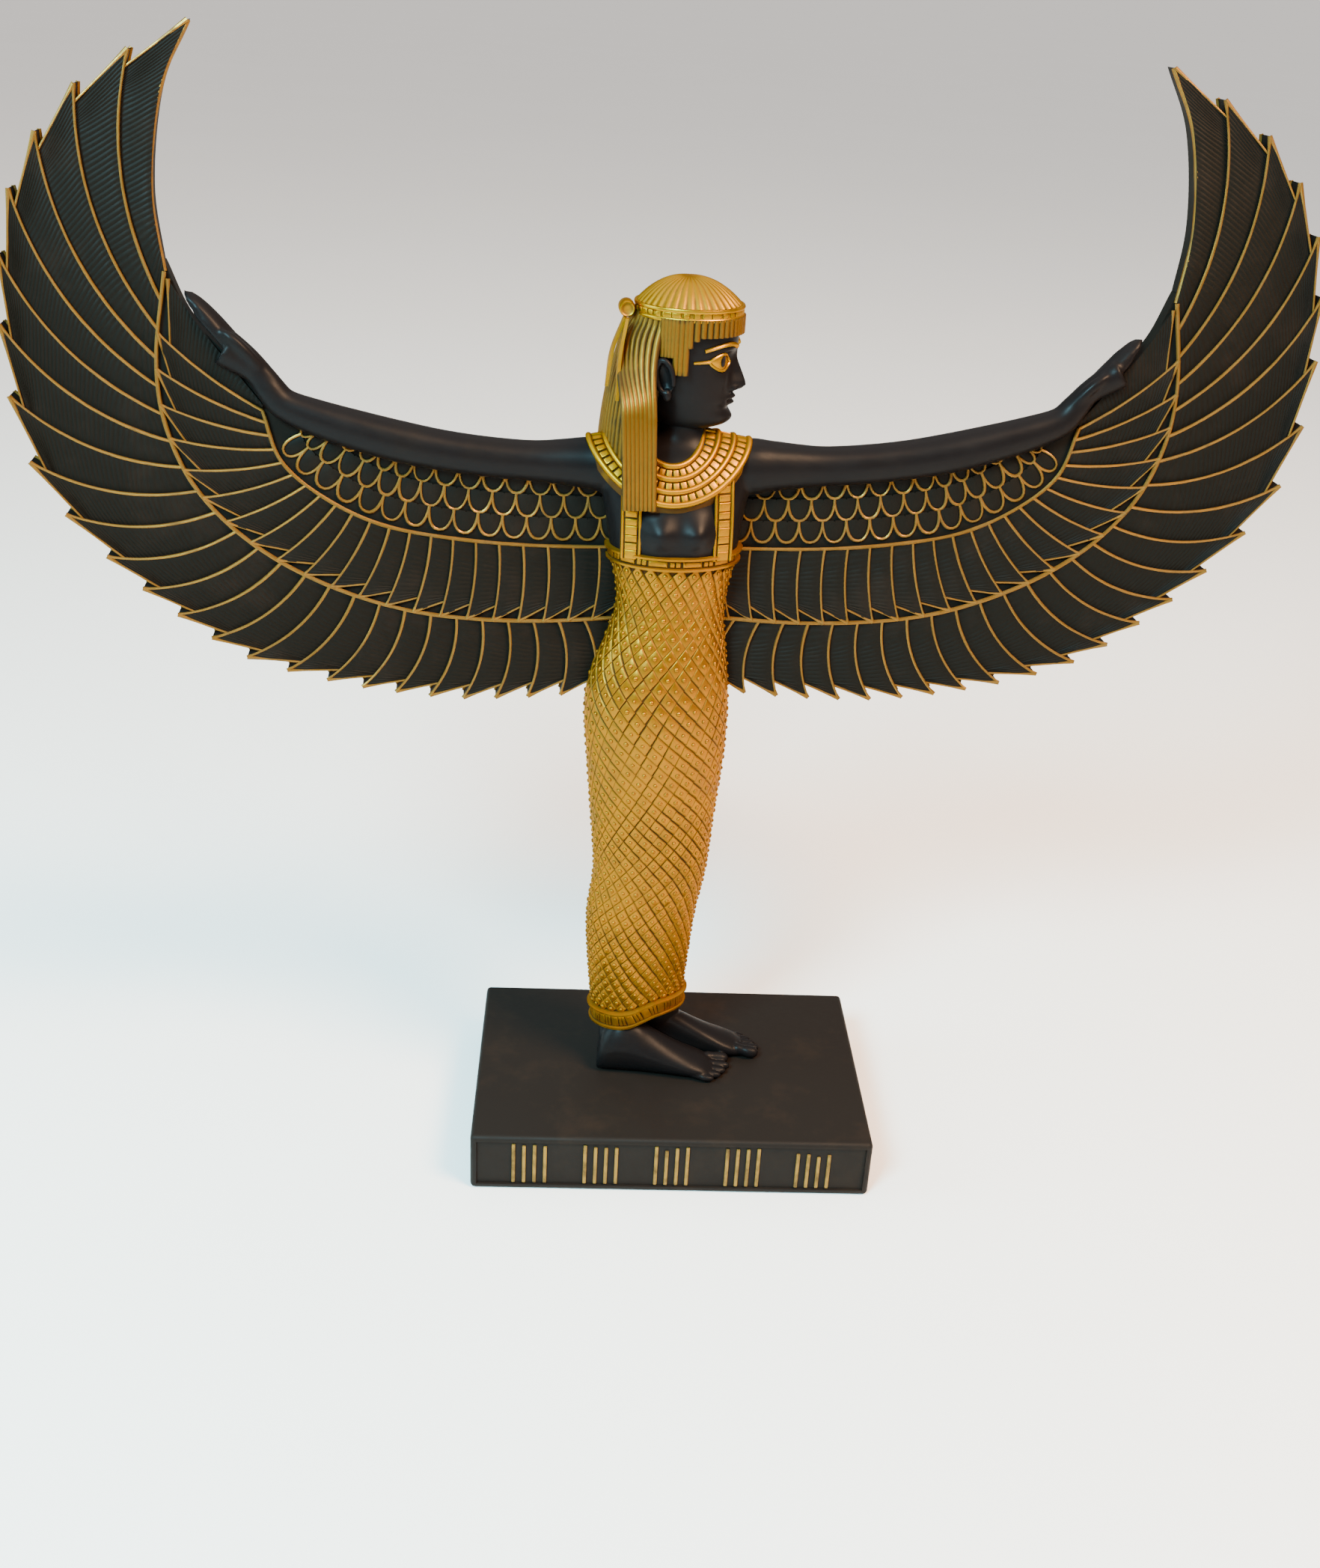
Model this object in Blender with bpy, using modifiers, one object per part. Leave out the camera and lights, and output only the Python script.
"""Statuette of Isis with raised wings, a painted resin casting on a black plinth.

Blender 4.5, metres, +Z up.  The origin is the middle of the plinth's underside.  +X is the way the
feet and the face point, and +Y runs away from a viewer who faces the spread wings.
"""
import math

import bmesh
import bpy
import numpy as np
from mathutils import Matrix
from mathutils.geometry import delaunay_2d_cdt

# Plinth, each size its own
PLINTH_WIDTH = 0.100
PLINTH_DEPTH = 0.067
PLINTH_HEIGHT = 0.016
PLINTH_EDGE = 0.0012
PANEL_MARGIN = 0.0017
PANEL_DEPTH = 0.0006
STROKE_WIDTH = 0.0011
STROKE_RISE = 0.0005
STROKE_PITCH = 0.0026
STROKES_IN_GROUP = 4
STROKE_GROUPS = 5
GROUP_PITCH_SHARE = 0.177
STROKE_SHARE = 0.94

# The figure stands turned on its plinth, with a small gap below the soles
FIGURE_HEIGHT = 0.200
FIGURE_TURN = math.radians(4.4)
FIGURE_SHIFT = -0.0055
SEAT_GAP = 0.0003

# Faces of the joined casting that differ by less than this become one
FLAT_ANGLE = math.radians(2.5)
SHARP_ANGLE = math.radians(28.0)

# Everything on the figure is a share of its height: one unit is a two hundredth of it
UNIT = FIGURE_HEIGHT / 200.0

# Wings, with outlines as (out from the middle, up from the plinth)
WING_THICKNESS = 3.4
WING_BEND = 0.000392
WING_LEAN = 0.1085
WING_PIVOT = 104.0
WING_ROOT = 3.0
FEATHER_TIPS = [(101.9, 245.3), (124.2, 233.0), (138.2, 213.2), (142.3, 187.0), (138.9, 159.0),
                (124.9, 138.6), (110.9, 125.4), (96.5, 115.3), (79.0, 109.6), (63.6, 106.5),
                (48.2, 104.8), (33.3, 105.0), (18.0, 106.0), (WING_ROOT, 108.0)]
OUTER_LINE = [(109.3, 197.8), (112.0, 180.0), (110.8, 166.0), (105.0, 152.5), (93.5, 140.5),
              (77.0, 131.0), (56.9, 124.9), (31.6, 123.0), (WING_ROOT, 124.6)]
MIDDLE_LINE = [(90.8, 169.8), (87.3, 159.1), (78.5, 151.2), (66.2, 145.2), (50.5, 142.1),
               (31.0, 140.5), (WING_ROOT, 140.4)]
LEADING_EDGE = [(101.9, 245.3), (107.9, 232.4), (110.7, 214.0), (109.3, 200.5), (104.5, 188.8)]
ARM_LINE = [(104.5, 188.8), (96.0, 179.5), (90.0, 173.2), (84.0, 170.2), (68.0, 165.0),
            (50.0, 161.3), (30.0, 159.5), (WING_ROOT, 159.5)]
OUTER_FEATHERS = 26
MIDDLE_FEATHERS = 22
FEATHER_STEP = 0.75
FEATHER_EDGE = 0.7
NOTCH = 3.3
LONG_FEATHER = 30.0
OUTER_BOW = 0.19
MIDDLE_BOW = 0.08
BORDER_RISE = 0.6
SCALE_PITCH = 5.6
SCALE_ROW = 5.0
SCALE_ROWS = 4
SCALE_RISE = 0.55
SCALE_EDGE = ((-0.5, 1.0), (-0.4, 0.3), (0.0, 0.0), (0.4, 0.3), (0.5, 1.0))
SCALES_END = 0.97
SCALES_LENGTH = 94.0
MIDDLE_LENGTH = 100.0
FIRST_SCALE = 0.25
ARM_CLEARANCE = 1.2

# Arms: distance out, height of the middle and half thickness of each section
ARM_SECTIONS = [(6.0, 158.6, 6.2), (16.0, 159.2, 6.4), (22.0, 159.4, 5.6), (32.0, 159.6, 4.6),
                (42.0, 160.3, 4.5), (52.0, 161.6, 4.5), (61.0, 163.3, 4.6), (70.0, 165.6, 4.4),
                (79.0, 168.3, 4.0), (86.0, 171.2, 3.4), (90.5, 174.0, 3.2), (95.0, 178.6, 3.9),
                (99.5, 183.5, 3.6), (103.5, 188.6, 2.6), (106.3, 192.4, 1.2)]
ARM_PROUD = 1.4
ARM_DEPTH_SHARE = 0.95
ARM_SIDES = 8

# Body: height, back edge, front edge, half thickness across and middle across
BODY_SECTIONS = [(14.5, -14.6, 8.0, 7.6, 3.4), (27.0, -16.2, 8.8, 8.2, 3.0),
                 (44.0, -17.4, 10.0, 8.8, 2.4), (58.0, -16.2, 11.9, 9.2, 1.6),
                 (74.0, -17.5, 12.9, 10.6, 1.0), (90.0, -19.0, 14.1, 12.4, 0.4),
                 (102.0, -19.9, 14.2, 13.2, 0.2), (112.0, -18.6, 13.5, 12.2, 0.4),
                 (127.0, -13.4, 11.8, 9.8, 1.0), (139.5, -14.9, 13.7, 10.2, 1.6),
                 (150.0, -16.6, 15.2, 9.8, 2.2), (158.5, -17.8, 16.2, 8.6, 3.4),
                 (164.0, -13.0, 12.4, 7.0, 4.4), (167.5, -5.8, 6.6, 5.6, 4.8),
                 (176.0, -5.2, 6.2, 5.2, 5.2)]
HEM_LOW = 14.5
HEM_BAND = 5.0
HEM_SLOPE = 0.16
HEM_SLOPE_REACH = 40.0
DRESS_TOP = 142.0
TOP_BAND = 3.4
BAND_RISE = 0.9
NET_COLUMNS = 18
NET_ROWS = 25
NET_DEPTH = 0.55
BAND_SLANT = 0.4
TORSO_LEVELS = (147.5, 153.0, 158.5, 161.5, 164.5, 167.5, 172.0, 176.0)
BREAST_MIDDLE = (-0.8, -5.0, 148.2)
BREAST_ASIDE = 4.4
BREAST_SIZE = (4.0, 3.5, 4.6)
BREAST_RINGS = ((0.0, 1.0), (0.4, 0.92), (0.75, 0.66), (0.97, 0.25))

# Head: middle, turn towards the viewer, and its sections as share up, front, back, half width
HEAD_MIDDLE = (0.1, 5.2)
HEAD_TURN = math.radians(-14.0)
CHIN = 169.0
SKULL_TOP = 198.6
HEAD_SECTIONS = [(-0.02, 6.4, 4.8, 4.6), (0.02, 9.7, 5.4, 5.6), (0.07, 10.7, 6.1, 6.4),
                 (0.14, 10.2, 7.2, 7.2), (0.20, 10.7, 8.2, 7.8), (0.27, 10.6, 9.0, 8.3),
                 (0.38, 10.6, 9.9, 8.8), (0.50, 10.6, 10.5, 9.0), (0.58, 11.3, 10.8, 9.2),
                 (0.72, 11.3, 11.0, 9.4), (0.86, 9.6, 10.0, 8.4), (0.95, 6.3, 7.2, 6.0),
                 (0.995, 2.0, 2.4, 2.0)]
HEAD_SIDES = 18
NOSE = (0.28, 0.53, 3.0, 0.17)
SOCKET = (0.50, 0.42, 1.0, 0.16, 0.05)
LIPS = ((0.175, 0.6), (0.225, 0.7))

# Wig: cap, band, fringe, hair that falls behind the shoulders and slabs that fall in front
WIG_TOP = 200.0
BAND_LOW = 192.4
BAND_HIGH = 195.8
BAND_BACK = 11.7
BAND_FRONT = 12.5
BAND_HALF = 10.9
CAP_RIBS = 13
CAP_GIRTH = 0.93
CAP_ROUNDNESS = 1.4
CAP_ANGLES = (14, 30, 46, 62, 78)
FRINGE_LOW = 189.3
FRINGE_LOCKS = 14
FRINGE_REACH = 82.0
WIG_BACK = [(194.0, -12.2), (187.0, -14.2), (176.0, -16.9), (165.0, -18.2), (158.0, -18.0)]
WIG_LOW = 158.0
WIG_HALF = ((158.0, 14.6), (172.0, 13.4), (190.0, BAND_HALF))
SIDE_LOCK = 78.0
SIDE_LOCK_LOW = 183.8
HAIR_EDGE = 103.0
FALL_LEVELS = (BAND_LOW + 1.0, 184.0, 183.5, 176.0, 168.0, WIG_LOW)
FALL_CORE = (1.0, 4.0)
WIG_STRANDS = 13
STRAND_DEPTH = 0.55
LAPPET_LOW = 153.0
LAPPET_STRANDS = 5
LAPPET_WIDTH = 7.6
LAPPET_MIDDLE = -9.3
LAPPET_LEAN = 0.04
LAPPET_THICKNESS = 4.0
LAPPET_FRONT_FALL = [(192.0, 10.8), (180.0, 12.8), (172.0, 14.2), (163.0, 14.8),
                     (LAPPET_LOW, 15.1)]
LAPPET_BACK_FALL = [(192.0, 10.8), (180.0, 11.4), (172.0, 10.4), (163.0, 9.0),
                    (LAPPET_LOW, 8.2)]
LAPPET_TURNS = (158.0, 104.0)
LAPPET_FREE = (174.0, 190.0)
KNOT = (-13.2, 193.6)
KNOT_LENGTH = 4.4
KNOT_RADIUS = 1.7
KNOT_ASIDE = -3.4
EAR_PLACE = (-1.6, 9.2, 181.0)
EAR_SIZE = (1.9, 3.1)
EAR_RINGS = ((-1.0, 0.8), (0.0, 1.0), (1.0, 0.75))

# Collar and straps
COLLAR_ROWS = 3
COLLAR_NECK = 7.0
COLLAR_OUT = 18.2
COLLAR_MIDDLE = (-2.6, 4.0)
COLLAR_HEIGHT = 167.5
COLLAR_CHEST = (8.6, 12.4)
COLLAR_SCOOP = 7.0
COLLAR_DROP = (2.4, 10.8, 1.3)
COLLAR_BEADS = 18
BEAD_DEPTH = 0.45
RING_RISE = 0.6
RING_WIDTH = 0.07
STRAP_WIDTH = 3.6
STRAP_OUT = 10.3
STRAP_SHIFT = -0.3
STRAP_LEVELS = (DRESS_TOP - 2.0, 147.0, 152.0, 157.0)
STRAP_PROUD = 1.1
STRAP_THICKNESS = 2.6

# Feet: heel place and length of each, both turned a little towards the viewer
FOOT_LENGTH = 33.0
FOOT_TURN = math.radians(-11.0)
FEET = ((-13.6, -1.6), (-5.6, 7.6))
FOOT_SECTIONS = [(0.00, 2.6, 3.0, 6.0), (0.05, 3.9, 4.2, 12.5), (0.16, 4.5, 4.6, 17.0),
                 (0.30, 4.5, 4.3, 15.0), (0.42, 4.4, 3.9, 10.4), (0.60, 4.8, 4.4, 7.4),
                 (0.76, 5.2, 5.0, 5.2), (0.86, 4.8, 4.8, 3.6)]
TOES = ((0.97, 3.5, 1.75), (0.98, 0.8, 1.35), (0.95, -1.2, 1.25), (0.91, -2.9, 1.15),
        (0.86, -4.4, 1.05))


def clear_scene():
    for thing in list(bpy.data.objects):
        bpy.data.objects.remove(thing, do_unlink=True)


def new_collection(name):
    group = bpy.data.collections.new(name)
    bpy.context.scene.collection.children.link(group)
    return group


def plain_material(name, colour, roughness, metallic):
    material = bpy.data.materials.new(name)
    material.use_nodes = True
    shader = material.node_tree.nodes["Principled BSDF"]
    shader.inputs["Base Color"].default_value = (*colour, 1.0)
    shader.inputs["Roughness"].default_value = roughness
    shader.inputs["Metallic"].default_value = metallic
    return material


def spline(points, places):
    """A smooth curve through evenly numbered points, read at places counted in points."""
    given = np.array(points, float)
    padded = np.vstack([2 * given[0] - given[1], given, 2 * given[-1] - given[-2]])
    places = np.clip(np.asarray(places, float), 0.0, len(given) - 1 - 1e-9)
    span = places.astype(int)
    t = (places - span)[:, None]
    a, b, c, d = padded[span], padded[span + 1], padded[span + 2], padded[span + 3]
    return 0.5 * (2 * b + (c - a) * t + (2 * a - 5 * b + 4 * c - d) * t ** 2
                  + (3 * b - a - 3 * c + d) * t ** 3)


def along(points, shares):
    """Points of the smooth curve at shares of its length."""
    dense = spline(points, np.linspace(0, len(points) - 1, 24 * len(points)))
    steps = np.linalg.norm(np.diff(dense, axis=0), axis=1)
    run = np.concatenate([[0.0], np.cumsum(steps)]) / steps.sum()
    return np.stack([np.interp(shares, run, column) for column in dense.T], axis=1)


def read(table, value):
    """The other columns of a table at a value of its first column, on smooth curves."""
    rows = spline(table, np.linspace(0, len(table) - 1, 24 * len(table)))
    if rows[0, 0] > rows[-1, 0]:
        rows = rows[::-1]
    return [np.interp(value, rows[:, 0], column) for column in rows.T[1:]]


def mesh_object(name, verts, faces, group):
    mesh = bpy.data.meshes.new(name)
    mesh.from_pydata([tuple(map(float, v)) for v in verts], [], faces)
    work = bmesh.new()
    work.from_mesh(mesh)
    bmesh.ops.remove_doubles(work, verts=work.verts, dist=0.00001)
    bmesh.ops.recalc_face_normals(work, faces=work.faces)
    bmesh.ops.triangulate(work, faces=work.faces)
    work.to_mesh(mesh)
    work.free()
    thing = bpy.data.objects.new(name, mesh)
    group.objects.link(thing)
    return thing


def placed(points):
    """Figure units to metres: turned, shifted and lifted by the gap above the plinth."""
    turn = np.array(Matrix.Rotation(FIGURE_TURN, 3, "Z"))
    spun = np.array(points, float) * UNIT @ turn.T
    return spun + np.array([FIGURE_SHIFT, 0.0, PLINTH_HEIGHT + SEAT_GAP])


def loft(name, rings, group):
    """A closed body through rings of as many points each, with flat ends."""
    sides = len(rings[0])
    faces = [tuple(range(sides)), tuple(range(len(rings) * sides - sides, len(rings) * sides))]
    for k in range(len(rings) - 1):
        for j in range(sides):
            low, high = k * sides, (k + 1) * sides
            after = (j + 1) % sides
            faces.append((low + j, low + after, high + after, high + j))
    return mesh_object(name, placed(np.vstack(rings)), faces, group)


# The body

def body_ring(height, shares, swell=0.0):
    """A ring of the body at one height, at shares of a turn from its front edge."""
    back, front, half, middle = read(BODY_SECTIONS, height)
    turn = 2 * math.pi * np.asarray(shares)
    x = (front + back) / 2 + ((front - back) / 2 + swell) * np.cos(turn)
    y = middle + (half + swell) * np.sin(turn)
    slope = HEM_SLOPE * max(0.0, 1.0 - (height - HEM_LOW) / HEM_SLOPE_REACH)
    z = height + slope * (x - (front + back) / 2)
    return np.stack([x, y, z], axis=1)


def body(group):
    """The dress with its diamond net and two bands, and the bare torso up to the neck."""
    shares = np.arange(NET_COLUMNS) / NET_COLUMNS
    net_low = HEM_LOW + HEM_BAND
    net_high = DRESS_TOP - TOP_BAND
    verts = []
    faces = []

    def add_ring(height, swell, shift=0.0):
        verts.append(body_ring(height, shares + shift / NET_COLUMNS, swell))

    def at(ring, place):
        return ring * NET_COLUMNS + place % NET_COLUMNS

    def join_rings(low):
        for j in range(NET_COLUMNS):
            faces.append((at(low, j), at(low, j + 1), at(low + 1, j + 1), at(low + 1, j)))

    add_ring(HEM_LOW, 0.0)
    add_ring(HEM_LOW + BAND_SLANT, BAND_RISE)
    add_ring(net_low - BAND_SLANT, BAND_RISE)
    faces.append(tuple(range(NET_COLUMNS)))
    for ring in range(3):
        join_rings(ring)

    first = 3
    last = first + NET_ROWS - 1
    levels = np.linspace(net_low, net_high, NET_ROWS)
    for row, level in enumerate(levels):
        add_ring(level, 0.0, 0.5 * (row % 2))
    for j in range(NET_COLUMNS):
        faces.append((at(first, j), at(first, j + 1), at(first + 1, j)))
        faces.append((at(last, j), at(last, j + 1), at(last - 1, j)))

    add_ring(net_high + BAND_SLANT, BAND_RISE)
    add_ring(DRESS_TOP - BAND_SLANT, BAND_RISE)
    for height in (DRESS_TOP, *TORSO_LEVELS):
        add_ring(height, 0.0)
    top = len(verts) - 1
    for ring in range(last, top):
        join_rings(ring)
    faces.append(tuple(at(top, j) for j in range(NET_COLUMNS)))

    for row in range(NET_ROWS - 2):
        add_ring(levels[row + 1], NET_DEPTH, 0.5 * (row % 2))
        raised = len(verts) - 1
        low = first + row
        for j in range(NET_COLUMNS):
            side = j if row % 2 else j - 1
            corners = (at(low, j), at(low + 1, side + 1), at(low + 2, j), at(low + 1, side))
            for a, b in zip(corners, corners[1:] + corners[:1]):
                faces.append((a, b, at(raised, j)))
    return mesh_object("body", placed(np.vstack(verts)), faces, group)


# The wings

class Sheet:
    """Points, heights and lines of one face of a wing, drawn flat before it is bent."""

    def __init__(self, outline, heights):
        self.points = [tuple(p) for p in outline]
        self.heights = list(heights)
        self.lines = []
        self.rim = len(outline)

    def line(self, points, heights):
        start = len(self.points)
        self.points += [tuple(p) for p in points]
        self.heights += list(heights)
        self.lines += [(start + k, start + k + 1) for k in range(len(points) - 1)]

    def mesh(self):
        """Triangles inside the outline, the height of each point and the outline's places."""
        rim = list(range(self.rim))
        out = delaunay_2d_cdt(self.points, self.lines, [rim], 1, 0.001)
        points, faces, origins = np.array(out[0]), out[2], out[3]
        place = {}
        heights = np.zeros(len(points))
        for k, found in enumerate(origins):
            for old in found:
                place[old] = k
            if found:
                heights[k] = max(self.heights[old] for old in found)
            else:
                gap = np.linalg.norm(np.array(self.points) - points[k], axis=1)
                heights[k] = self.heights[int(gap.argmin())]
        return points, heights, faces, [place[k] for k in rim]


def bowed(start, end, bow, shares):
    """A quill's line: it leaves its root and turns in the same sense all the way to its tip."""
    start, end = np.array(start), np.array(end)
    chord = end - start
    knee = (start + end) / 2 + bow * np.array([chord[1], -chord[0]])
    t = np.asarray(shares)[:, None]
    return (1 - t) ** 2 * start + 2 * t * (1 - t) * knee + t ** 2 * end


def beside(line, gap):
    """A line moved by a gap towards the feather before it."""
    way = np.gradient(line, axis=0)
    way /= np.linalg.norm(way, axis=1)[:, None]
    return line + gap * np.stack([-way[:, 1], way[:, 0]], axis=1)


def outer_root_shares():
    """Where the outer feathers leave their line, evenly along it."""
    return np.arange(1, OUTER_FEATHERS + 1) / (OUTER_FEATHERS + 1)


def middle_root_shares():
    """Where the middle feathers leave their line: closer together towards the wrist."""
    step = np.arange(MIDDLE_FEATHERS) / MIDDLE_FEATHERS
    return 0.98 * (0.58 * step + 0.42 * step ** 2)


def middle_tip_shares():
    """Where the middle feathers end on the outer line, a little wider towards the wrist."""
    step = np.arange(MIDDLE_FEATHERS) / MIDDLE_FEATHERS
    return 0.078 + 1.043 * step - 0.152 * step ** 2


def outer_quills():
    tips = spline(FEATHER_TIPS, np.linspace(0, len(FEATHER_TIPS) - 1, OUTER_FEATHERS + 1))[1:]
    return list(zip(along(OUTER_LINE, outer_root_shares()), tips))


def middle_quills():
    roots = along(MIDDLE_LINE, middle_root_shares())
    return list(zip(roots, along(OUTER_LINE, middle_tip_shares())))


def notched_outline():
    """The wing's outline: leading edge, arm, root and the notched row of feather tips."""
    upper = along(LEADING_EDGE, np.linspace(0, 1, 8))[:-1]
    arm = along(ARM_LINE, np.linspace(0, 1, 10))
    points = [*upper, *arm]
    heights = [FEATHER_STEP] * len(upper) + [0.0] * len(arm)
    quills = outer_quills()
    for root, tip in reversed(quills):
        low_side = beside(bowed(root, tip, OUTER_BOW, np.linspace(0, 1, 40)), FEATHER_EDGE)
        reach = 1.0 - NOTCH / np.linalg.norm(tip - root)
        points += [tip, low_side[int(reach * 39)]]
        heights += [FEATHER_STEP, 0.0]
    return points, heights


def add_outer_feathers(sheet, spans):
    """Each quill is a raised line in a few spans, with the hollow of its neighbour beside it."""
    for root, tip in outer_quills():
        if np.linalg.norm(tip - root) < LONG_FEATHER:
            spans = 2
        quill = bowed(root, tip, OUTER_BOW, np.linspace(0, 1, spans + 1))
        sheet.line(quill, [BORDER_RISE] + [FEATHER_STEP] * spans)
        reach = int((1.0 - NOTCH / np.linalg.norm(tip - root)) * 39)
        low_side = beside(bowed(root, tip, OUTER_BOW, np.linspace(0, 1, 40)), FEATHER_EDGE)
        stations = np.linspace(4, reach, spans + 1).astype(int)
        sheet.line(low_side[stations], [0.0] * (spans + 1))


def add_middle_feathers(sheet):
    quills = middle_quills()
    notches = []
    for root, tip in quills:
        reach = 1.0 - NOTCH / np.linalg.norm(tip - root)
        line = bowed(root, tip, MIDDLE_BOW, (0.0, 0.45 * reach, reach, 1.0))
        sheet.line(line, [BORDER_RISE, FEATHER_STEP, FEATHER_STEP, BORDER_RISE])
        low_side = beside(bowed(root, tip, MIDDLE_BOW, (0.12, 0.5 * reach, 0.93 * reach)),
                          FEATHER_EDGE)
        sheet.line(low_side, [0.0] * 3)
        notches.append(line[2])
    for (root, tip), notch in zip(quills, notches[1:]):
        sheet.line([tip, notch], [BORDER_RISE, FEATHER_STEP])


def add_borders(sheet):
    """The two raised lines, each with its points where the feathers meet it."""
    meetings = np.concatenate([[0.0, 0.04], outer_root_shares(), middle_tip_shares()])
    outer = along(OUTER_LINE, np.unique(meetings))
    sheet.line(outer, [BORDER_RISE] * len(outer))
    middle = along(MIDDLE_LINE, middle_root_shares())
    sheet.line(middle, [BORDER_RISE] * len(middle))


def add_scales(sheet):
    """Rows of scales above the middle line, each with a raised lower edge and a hollow middle."""
    arm = along(ARM_LINE, np.linspace(0, 1, 200))[::-1]
    count = int(SCALES_LENGTH / SCALE_PITCH)

    def spot(place, row):
        share = np.clip(SCALES_END - place * SCALE_PITCH / MIDDLE_LENGTH, 0.0, 1.0)
        here, after = along(MIDDLE_LINE, [share, min(share + 0.01, 1.0)])
        way = (after - here) / max(np.linalg.norm(after - here), 1e-9)
        return here + (FIRST_SCALE + row) * SCALE_ROW * np.array([way[1], -way[0]])

    def inside(point):
        return point[1] < np.interp(point[0], arm[:, 0], arm[:, 1]) - ARM_CLEARANCE

    for row in range(SCALE_ROWS):
        for k in range(count):
            place = k + 0.5 * (row % 2) + 0.5
            edge = [spot(place + aside, row + up) for aside, up in SCALE_EDGE]
            if all(inside(point) for point in edge):
                sheet.line(edge, [SCALE_RISE] * len(edge))
                sheet.line([spot(place, row + 0.6)], [0.0])


def wing(name, side, group):
    """One wing: a bent plate with feathers on both faces and scales on the front."""
    outline, rim_heights = notched_outline()
    front = Sheet(outline, rim_heights)
    add_outer_feathers(front, 3)
    add_middle_feathers(front)
    add_borders(front)
    add_scales(front)
    back = Sheet(outline, rim_heights)
    add_outer_feathers(back, 2)
    verts = []
    faces = []
    rims = []
    for sheet, face_sign, offset in ((front, -1.0, 0.0), (back, 0.5, WING_THICKNESS)):
        points, heights, triangles, rim = sheet.mesh()
        start = len(verts)
        depth = wing_depth(points[:, 0], points[:, 1]) + offset + face_sign * heights
        verts += list(np.stack([side * points[:, 0], depth, points[:, 1]], axis=1))
        faces += [tuple(start + v for v in face) for face in triangles]
        rims.append([start + v for v in rim])
    near, far = rims
    for k in range(len(near)):
        after = (k + 1) % len(near)
        faces.append((near[k], near[after], far[after], far[k]))
    return mesh_object(name, placed(verts), faces, group)


def wing_depth(x, h):
    """How far back the wing's front face lies at a place on it."""
    return -WING_BEND * x * x + WING_LEAN * (h - WING_PIVOT)


# Arms, feet and head

def arm(name, side, group):
    table = np.array(ARM_SECTIONS)
    rings = []
    for k, (out, height, half) in enumerate(table):
        before, after = table[max(k - 1, 0)], table[min(k + 1, len(table) - 1)]
        way = (after - before)[:2]
        way /= np.linalg.norm(way)
        depth = wing_depth(out, height) - ARM_PROUD
        ring = []
        for turn in np.linspace(0, 2 * math.pi, ARM_SIDES, endpoint=False):
            up = half * math.cos(turn)
            ring.append((side * (out - way[1] * up), depth - ARM_DEPTH_SHARE * half * math.sin(turn),
                         height + way[0] * up))
        rings.append(np.array(ring))
    return loft(name, rings, group)


def foot_frame(heel, points):
    """From a foot's own length, width and height to the figure's frame."""
    c, s = math.cos(FOOT_TURN), math.sin(FOOT_TURN)
    points = np.array(points, float)
    return np.stack([heel[0] + c * points[:, 0] - s * points[:, 1],
                     heel[1] + s * points[:, 0] + c * points[:, 1], points[:, 2]], axis=1)


def foot(name, heel, outer, group):
    """A foot lofted from heel to ball, flat below, with the little toe on its outer side."""
    rings = []
    for share, left, right, top in FOOT_SECTIONS:
        along_foot = share * FOOT_LENGTH
        near, far = (left, right) if outer < 0 else (right, left)
        ring = [(along_foot, -near, 0.0), (along_foot, -near * 1.02, 0.28 * top),
                (along_foot, -near * 0.8, 0.68 * top), (along_foot, -near * 0.35, 0.95 * top),
                (along_foot, far * 0.35, 0.97 * top), (along_foot, far * 0.82, 0.7 * top),
                (along_foot, far * 1.02, 0.28 * top), (along_foot, far, 0.0)]
        rings.append(foot_frame(heel, ring))
    return loft(name, rings, group)


def toe(name, heel, outer, share, across, radius, group):
    """One toe: a short drop shape whose end rests on the ground."""
    middle = share * FOOT_LENGTH
    across *= -outer
    rings = []
    for step, girth in ((-6.0, 0.8), (-1.6, 1.0), (0.5, 0.9), (1.5, 0.45)):
        ring = []
        for turn in np.linspace(0, 2 * math.pi, 7, endpoint=False):
            ring.append((middle + step, across + girth * radius * math.cos(turn),
                         max(0.0, radius + girth * radius * math.sin(turn) * 1.05)))
        rings.append(foot_frame(heel, ring))
    return loft(name, rings, group)


def head_frame(points):
    c, s = math.cos(HEAD_TURN), math.sin(HEAD_TURN)
    points = np.array(points, float)
    return np.stack([HEAD_MIDDLE[0] + c * points[:, 0] - s * points[:, 1],
                     HEAD_MIDDLE[1] + s * points[:, 0] + c * points[:, 1], points[:, 2]], axis=1)


def head_ring(share, sides):
    """A ring of the head.  A turn of zero is the middle of the face."""
    front, back, half = read(HEAD_SECTIONS, share)
    height = CHIN + share * (SKULL_TOP - CHIN)
    points = []
    for turn in np.linspace(-math.pi, math.pi, sides, endpoint=False):
        reach = front if abs(turn) < math.pi / 2 else back
        x = reach * math.cos(turn)
        y = half * math.sin(turn)
        low, high, rise, spread = NOSE
        ramp = np.interp(share, (low - 0.04, low, high), (0.0, 1.0, 0.0))
        out = rise * ramp * math.exp(-(turn / spread) ** 2)
        level, aside, depth, wide, tall = SOCKET
        out -= depth * math.exp(-((abs(turn) - aside) / wide) ** 2 - ((share - level) / tall) ** 2)
        for lip_level, lip_rise in LIPS:
            out += lip_rise * math.exp(-(turn / 0.3) ** 2 - ((share - lip_level) / 0.022) ** 2)
        points.append((x + out * math.cos(turn), y + out * math.sin(turn), height))
    return head_frame(points)


def head(group):
    shares = (-0.02, 0.02, 0.07, 0.13, 0.175, 0.20, 0.225, 0.255, 0.28, 0.34, 0.42, 0.47, 0.50,
              0.54, 0.60, 0.72, 0.90)
    return loft("head", [head_ring(share, HEAD_SIDES) for share in shares], group)


# Wig

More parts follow.
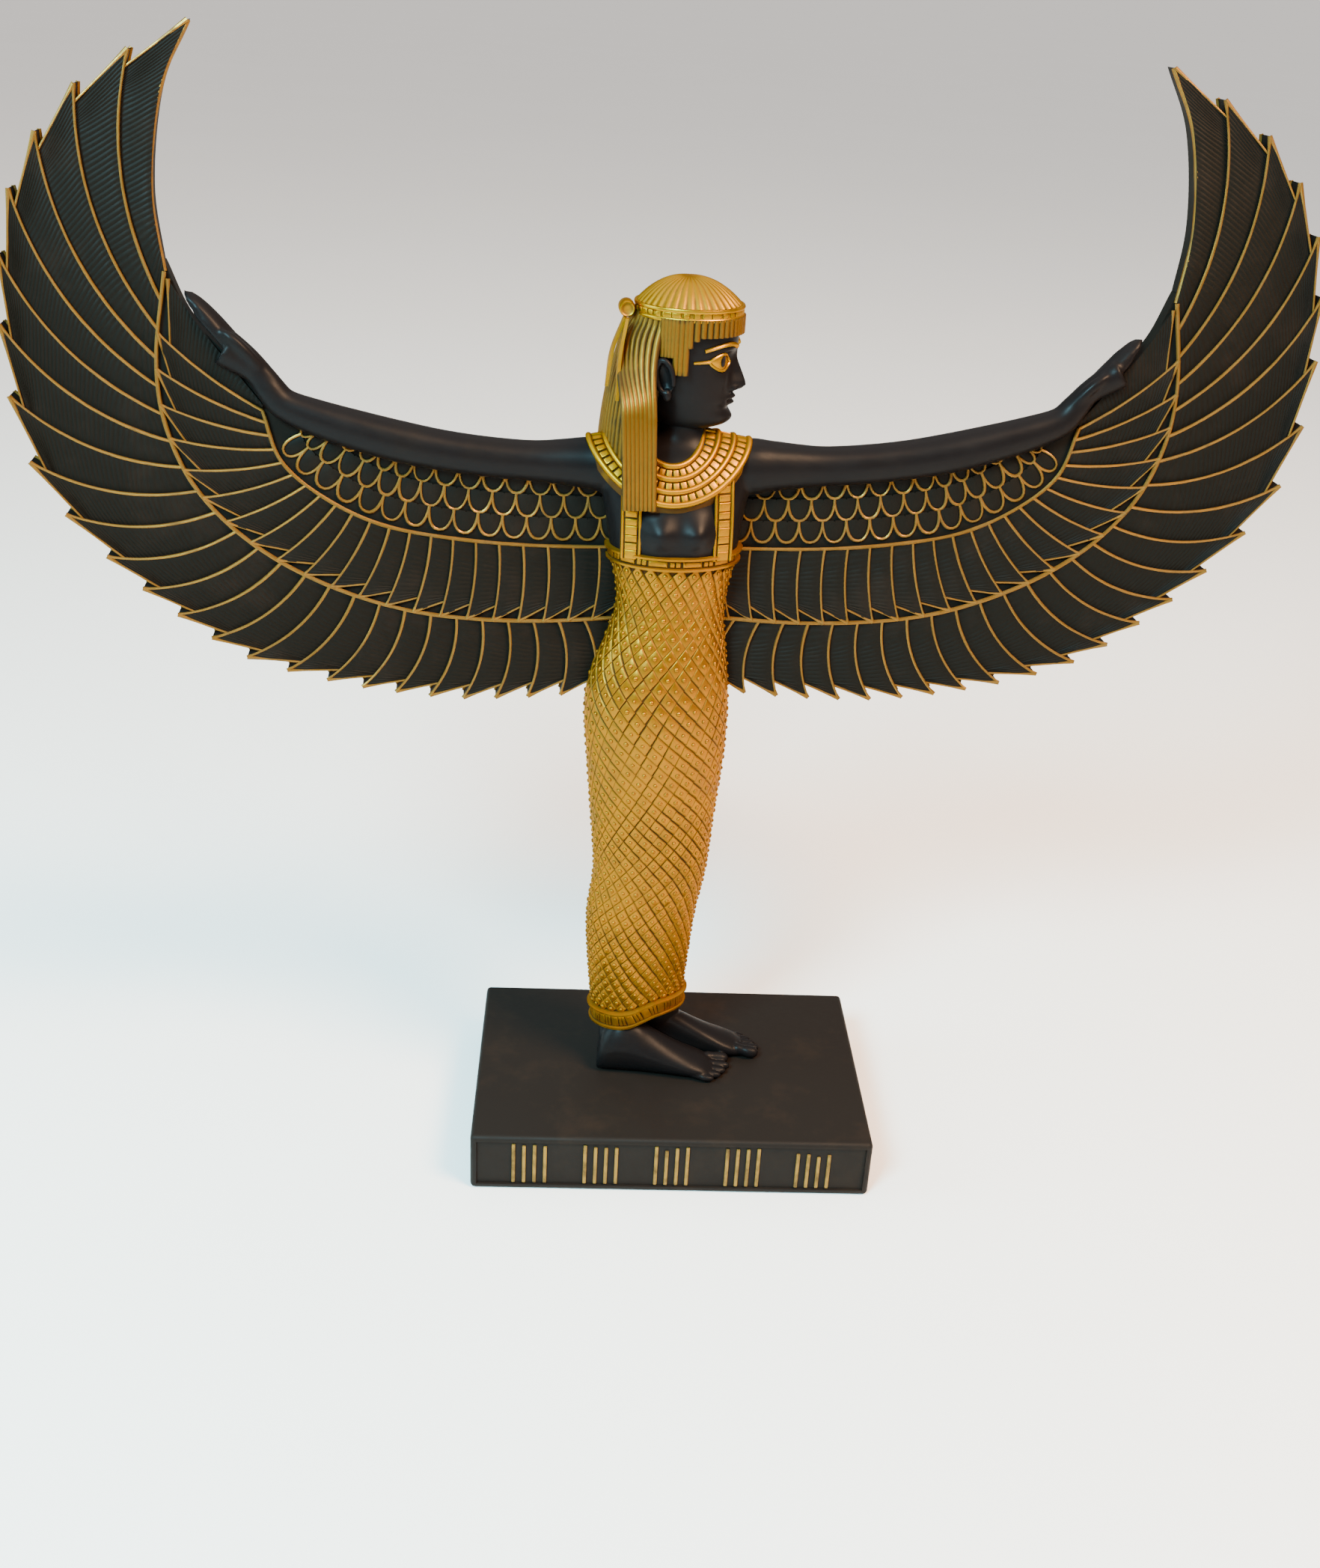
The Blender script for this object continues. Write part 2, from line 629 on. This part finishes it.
def wig_oval(turns, girth, height):
    """Points of the oval that the band follows, as wide as a share of it."""
    reach = np.where(np.abs(turns) < math.pi / 2, BAND_FRONT, BAND_BACK)
    return head_frame(np.stack([reach * np.cos(turns) * girth, BAND_HALF * np.sin(turns) * girth,
                                np.full(len(turns), height)], axis=1))


def cap_and_band(group):
    """The ribbed cap and the band around it, as one turned oval."""
    turns = np.linspace(-math.pi, math.pi, 2 * CAP_RIBS, endpoint=False)
    ribs = 1.0 - 0.03 * (np.arange(2 * CAP_RIBS) % 2)
    rise = WIG_TOP - BAND_HIGH
    levels = [(BAND_LOW - 1.0, CAP_GIRTH), (BAND_LOW, CAP_GIRTH), (BAND_LOW, 1.0),
              (BAND_LOW + 0.8, 1.0), (BAND_LOW + 1.0, 0.965), (BAND_HIGH - 1.0, 0.965),
              (BAND_HIGH - 0.8, 1.0), (BAND_HIGH, 1.0), (BAND_HIGH + 0.1, CAP_GIRTH * ribs)]
    for angle in np.radians(CAP_ANGLES):
        girth = CAP_GIRTH * ribs * math.cos(angle) ** CAP_ROUNDNESS
        levels.append((BAND_HIGH + rise * math.sin(angle), girth))
    return loft("cap", [wig_oval(turns, girth, height) for height, girth in levels], group)


def fringe(group):
    """The square-cut hair over the brow: a short wall below the band, grooved into locks."""
    turns = np.radians(np.linspace(-FRINGE_REACH, FRINGE_REACH, 2 * FRINGE_LOCKS + 1))
    groove = 1.0 - 0.03 * (np.arange(2 * FRINGE_LOCKS + 1) % 2)
    rings = []
    for height in (BAND_LOW + 1.0, FRINGE_LOW):
        outer = wig_oval(turns, 0.97 * groove, height)
        inner = wig_oval(turns[::-4], 0.72, height)
        rings.append(np.vstack([outer, inner]))
    return loft("fringe", rings, group)


def fall_of_hair(group):
    """The hair behind the ears, from the band to below the shoulders, grooved into strands."""
    count = 2 * WIG_STRANDS + 1
    groove = STRAND_DEPTH * (np.arange(count) % 2)
    rings = []
    for height in FALL_LEVELS:
        lock = SIDE_LOCK if height > SIDE_LOCK_LOW else HAIR_EDGE
        turn = np.radians(np.linspace(lock, 360.0 - lock, count))
        back = -read(WIG_BACK, height)[0] + HEAD_MIDDLE[0]
        half = np.interp(height, *zip(*WIG_HALF))
        outer = np.stack([(back - groove) * np.cos(turn), (half - groove) * np.sin(turn),
                          np.full(count, height)], axis=1)
        inner = np.stack([np.full(2, FALL_CORE[0]), FALL_CORE[1] * np.array([-1.0, 1.0]),
                          np.full(2, height)], axis=1)
        rings.append(head_frame(np.vstack([outer, inner])))
    return loft("fall", rings, group)


def lappet(name, side, fall, group):
    """Hair that leaves the band beside the head and hangs over a shoulder as a square-cut slab."""
    rings = []
    count = 2 * LAPPET_STRANDS + 1
    across = np.linspace(-LAPPET_WIDTH / 2, LAPPET_WIDTH / 2, count)
    groove = STRAND_DEPTH * (np.arange(count) % 2)
    turns = side * np.radians(np.linspace(*LAPPET_TURNS, count))
    for height, out in fall:
        middle = LAPPET_MIDDLE - LAPPET_LEAN * (height - LAPPET_LOW)
        hanging = np.stack([middle + across, HEAD_MIDDLE[1] + side * (out - groove),
                            np.full(count, height)], axis=1)
        on_head = wig_oval(turns, 0.97 - 0.04 * (np.arange(count) % 2), height)
        free = 1.0 - np.clip((height - LAPPET_FREE[0]) / (LAPPET_FREE[1] - LAPPET_FREE[0]), 0, 1)
        outer = free * hanging + (1.0 - free) * on_head
        inward = np.array([0.0, side * LAPPET_THICKNESS, 0.0])
        rings.append(np.vstack([outer, outer[-1] - inward, outer[0] - inward]))
    return loft(name, rings, group)


def ear(name, side, group):
    rings = []
    turn = np.linspace(0, 2 * math.pi, 10, endpoint=False)
    for lift, size in EAR_RINGS:
        rings.append(head_frame(np.stack([EAR_PLACE[0] + EAR_SIZE[0] * size * np.cos(turn),
                                          np.full(10, side * (EAR_PLACE[1] + lift)),
                                          EAR_PLACE[2] + EAR_SIZE[1] * size * np.sin(turn)],
                                         axis=1)))
    return loft(name, rings, group)


def knot(group):
    """The short roll that ties the band behind the head."""
    rings = []
    turn = np.linspace(0, 2 * math.pi, 12, endpoint=False)
    for step, girth in ((0.0, 0.85), (0.5, 1.0), (KNOT_LENGTH - 0.5, 1.0), (KNOT_LENGTH, 0.85)):
        rings.append(np.stack([KNOT[0] + girth * KNOT_RADIUS * np.cos(turn),
                               np.full(12, HEAD_MIDDLE[1] + KNOT_ASIDE + step),
                               KNOT[1] + girth * KNOT_RADIUS * np.sin(turn)], axis=1))
    return loft("knot", rings, group)


# Collar and straps

def collar(group):
    """A broad collar that lies on the shoulders: raised rings with rows of beads between."""
    turns = np.linspace(0, 2 * math.pi, 2 * COLLAR_BEADS, endpoint=False)
    beads = BEAD_DEPTH * (np.arange(2 * COLLAR_BEADS) % 2)
    rings = [collar_ring(turns, 0.0, -1.2)]
    for row in range(COLLAR_ROWS):
        share = 0.06 + row * 0.94 / COLLAR_ROWS
        rings.append(collar_ring(turns, share, RING_RISE))
        rings.append(collar_ring(turns, share + RING_WIDTH, RING_RISE - 0.25 - beads))
    rings.append(collar_ring(turns, 1.0, RING_RISE))
    rings.append(collar_ring(turns, 0.98, -2.4))
    return loft("collar", rings, group)


def collar_ring(turns, share, rise):
    """A ring of the collar: wide along the shoulders, scooped in front, close to the chest."""
    out = COLLAR_NECK + share * (COLLAR_OUT - COLLAR_NECK)
    sine = np.sin(turns)
    chest = COLLAR_CHEST[0] + share * (COLLAR_CHEST[1] - COLLAR_CHEST[0])
    scoop = (1.0 - share) * COLLAR_SCOOP * np.clip(-sine, 0.0, 1.0)
    low, deep, power = COLLAR_DROP
    drop = share * (low + deep * np.abs(sine) ** power)
    return np.stack([COLLAR_MIDDLE[0] + out * np.cos(turns),
                     COLLAR_MIDDLE[1] + (chest + 0.4 * rise) * sine,
                     COLLAR_HEIGHT - scoop - drop + rise], axis=1)


def strap(name, side, front, group):
    """A flat strap from the collar down to the dress, on the chest or on the back."""
    rings = []
    for height in STRAP_LEVELS:
        back, fore, half, middle = read(BODY_SECTIONS, height)
        reach = (fore - back) / 2
        centre = (fore + back) / 2
        across = np.array([-0.5, 0.5]) * STRAP_WIDTH + side * STRAP_OUT + centre + STRAP_SHIFT
        slope = np.sqrt(np.clip(1 - ((across - centre) / reach) ** 2, 0.05, 1))
        surface = middle + front * (half * slope + STRAP_PROUD)
        ring = np.stack([across, surface, np.full(2, height)], axis=1)
        inner = ring[::-1] - np.array([0.0, front * STRAP_THICKNESS, 0.0])
        rings.append(np.vstack([ring, inner]))
    return loft(name, rings, group)


def breast(name, side, group):
    rings = []
    turn = np.linspace(0, 2 * math.pi, 12, endpoint=False)
    for depth, size in BREAST_RINGS:
        rings.append(np.stack([BREAST_MIDDLE[0] + side * BREAST_ASIDE
                               + BREAST_SIZE[0] * size * np.cos(turn),
                               np.full(12, BREAST_MIDDLE[1] - BREAST_SIZE[1] * depth),
                               BREAST_MIDDLE[2] + BREAST_SIZE[2] * size * np.sin(turn)], axis=1))
    return loft(name, rings, group)


# Assembly

def join_solids(name, solids, group, material):
    """One closed casting from overlapping solids, by exact unions with the first of them."""
    first, others = solids[0], solids[1:]
    for other in others:
        union = first.modifiers.new(other.name, "BOOLEAN")
        union.operation = "UNION"
        union.solver = "EXACT"
        union.object = other
    bpy.context.view_layer.update()
    seen = first.evaluated_get(bpy.context.evaluated_depsgraph_get())
    mesh = bpy.data.meshes.new_from_object(seen)
    for solid in solids:
        bpy.data.objects.remove(solid, do_unlink=True)
    tidy = bmesh.new()
    tidy.from_mesh(mesh)
    bmesh.ops.remove_doubles(tidy, verts=tidy.verts, dist=0.00002)
    bmesh.ops.dissolve_degenerate(tidy, edges=tidy.edges, dist=0.00001)
    bmesh.ops.dissolve_limit(tidy, angle_limit=FLAT_ANGLE, verts=tidy.verts, edges=tidy.edges)
    bmesh.ops.triangulate(tidy, faces=tidy.faces)
    tidy.to_mesh(mesh)
    tidy.free()
    mesh.name = name
    mesh.materials.clear()
    mesh.materials.append(material)
    mesh.shade_smooth()
    mesh.set_sharp_from_angle(angle=SHARP_ANGLE)
    whole = bpy.data.objects.new(name, mesh)
    group.objects.link(whole)
    return whole


def figure(group, material):
    solids = [body(group)]
    for number, heel in enumerate(FEET):
        outer = -1 if number == 0 else 1
        solids.append(foot(f"foot_{number}", heel, outer, group))
        for k, (share, across, radius) in enumerate(TOES):
            solids.append(toe(f"toe_{number}_{k}", heel, outer, share, across, radius, group))
    for name, side in (("left", -1), ("right", 1)):
        solids.append(wing(f"wing_{name}", side, group))
        solids.append(arm(f"arm_{name}", side, group))
        solids.append(breast(f"breast_{name}", side, group))
        solids.append(strap(f"strap_{name}", side, -1, group))
    solids.append(head(group))
    solids.append(collar(group))
    solids.append(fall_of_hair(group))
    solids.append(fringe(group))
    solids.append(cap_and_band(group))
    solids.append(lappet("lappet_near", -1, LAPPET_FRONT_FALL, group))
    solids.append(lappet("lappet_far", 1, LAPPET_BACK_FALL, group))
    solids.append(knot(group))
    for name, side in (("near", -1), ("far", 1)):
        solids.append(ear(f"ear_{name}", side, group))
    return join_solids("figure", solids, group, material)


def box(name, size, middle, group):
    bpy.ops.mesh.primitive_cube_add(size=1.0)
    thing = bpy.context.object
    thing.name = name
    thing.data.transform(Matrix.Translation(middle) @ Matrix.Diagonal((*size, 1.0)))
    for owner in list(thing.users_collection):
        owner.objects.unlink(thing)
    group.objects.link(thing)
    return thing


def cutter(thing):
    thing.hide_render = True
    thing.display_type = "WIRE"
    return thing


def combine(target, tool, operation):
    """A live Boolean on the target, with the exact solver."""
    change = target.modifiers.new(tool.name, "BOOLEAN")
    change.operation = operation
    change.solver = "EXACT"
    change.object = tool


def plinth(group, cutters, material):
    """A block with soft edges, a sunk panel in front and groups of raised upright strokes."""
    block = box("plinth", (PLINTH_WIDTH, PLINTH_DEPTH, PLINTH_HEIGHT),
                (0.0, 0.0, PLINTH_HEIGHT / 2), group)
    rounding = block.modifiers.new("edges", "BEVEL")
    rounding.width = PLINTH_EDGE
    rounding.segments = 2
    front = -PLINTH_DEPTH / 2
    panel_high = PLINTH_HEIGHT - 2 * PANEL_MARGIN
    panel = box("panel", (PLINTH_WIDTH - 2 * PANEL_MARGIN, 2 * PANEL_DEPTH, panel_high),
                (0.0, front, PLINTH_HEIGHT / 2), cutters)
    combine(block, cutter(panel), "DIFFERENCE")
    floor = front + PANEL_DEPTH
    deep = 2 * STROKE_RISE
    for number in range(STROKE_GROUPS):
        middle = (number - (STROKE_GROUPS - 1) / 2) * GROUP_PITCH_SHARE * PLINTH_WIDTH
        for k in range(STROKES_IN_GROUP):
            place = middle + (k - (STROKES_IN_GROUP - 1) / 2) * STROKE_PITCH
            stroke = box(f"stroke_{number}_{k}", (STROKE_WIDTH, deep, panel_high * STROKE_SHARE),
                         (place, floor - STROKE_RISE + deep / 2, PLINTH_HEIGHT / 2), cutters)
            combine(block, cutter(stroke), "UNION")
    block.data.materials.append(material)
    return block


def main():
    clear_scene()
    model = new_collection("isis_statue")
    cutters = new_collection("cutters")
    paint = plain_material("gold_on_black_resin", (0.35, 0.22, 0.06), 0.38, 0.5)
    black = plain_material("black_resin", (0.015, 0.014, 0.014), 0.45, 0.0)
    figure(model, paint)
    plinth(model, cutters, black)


main()
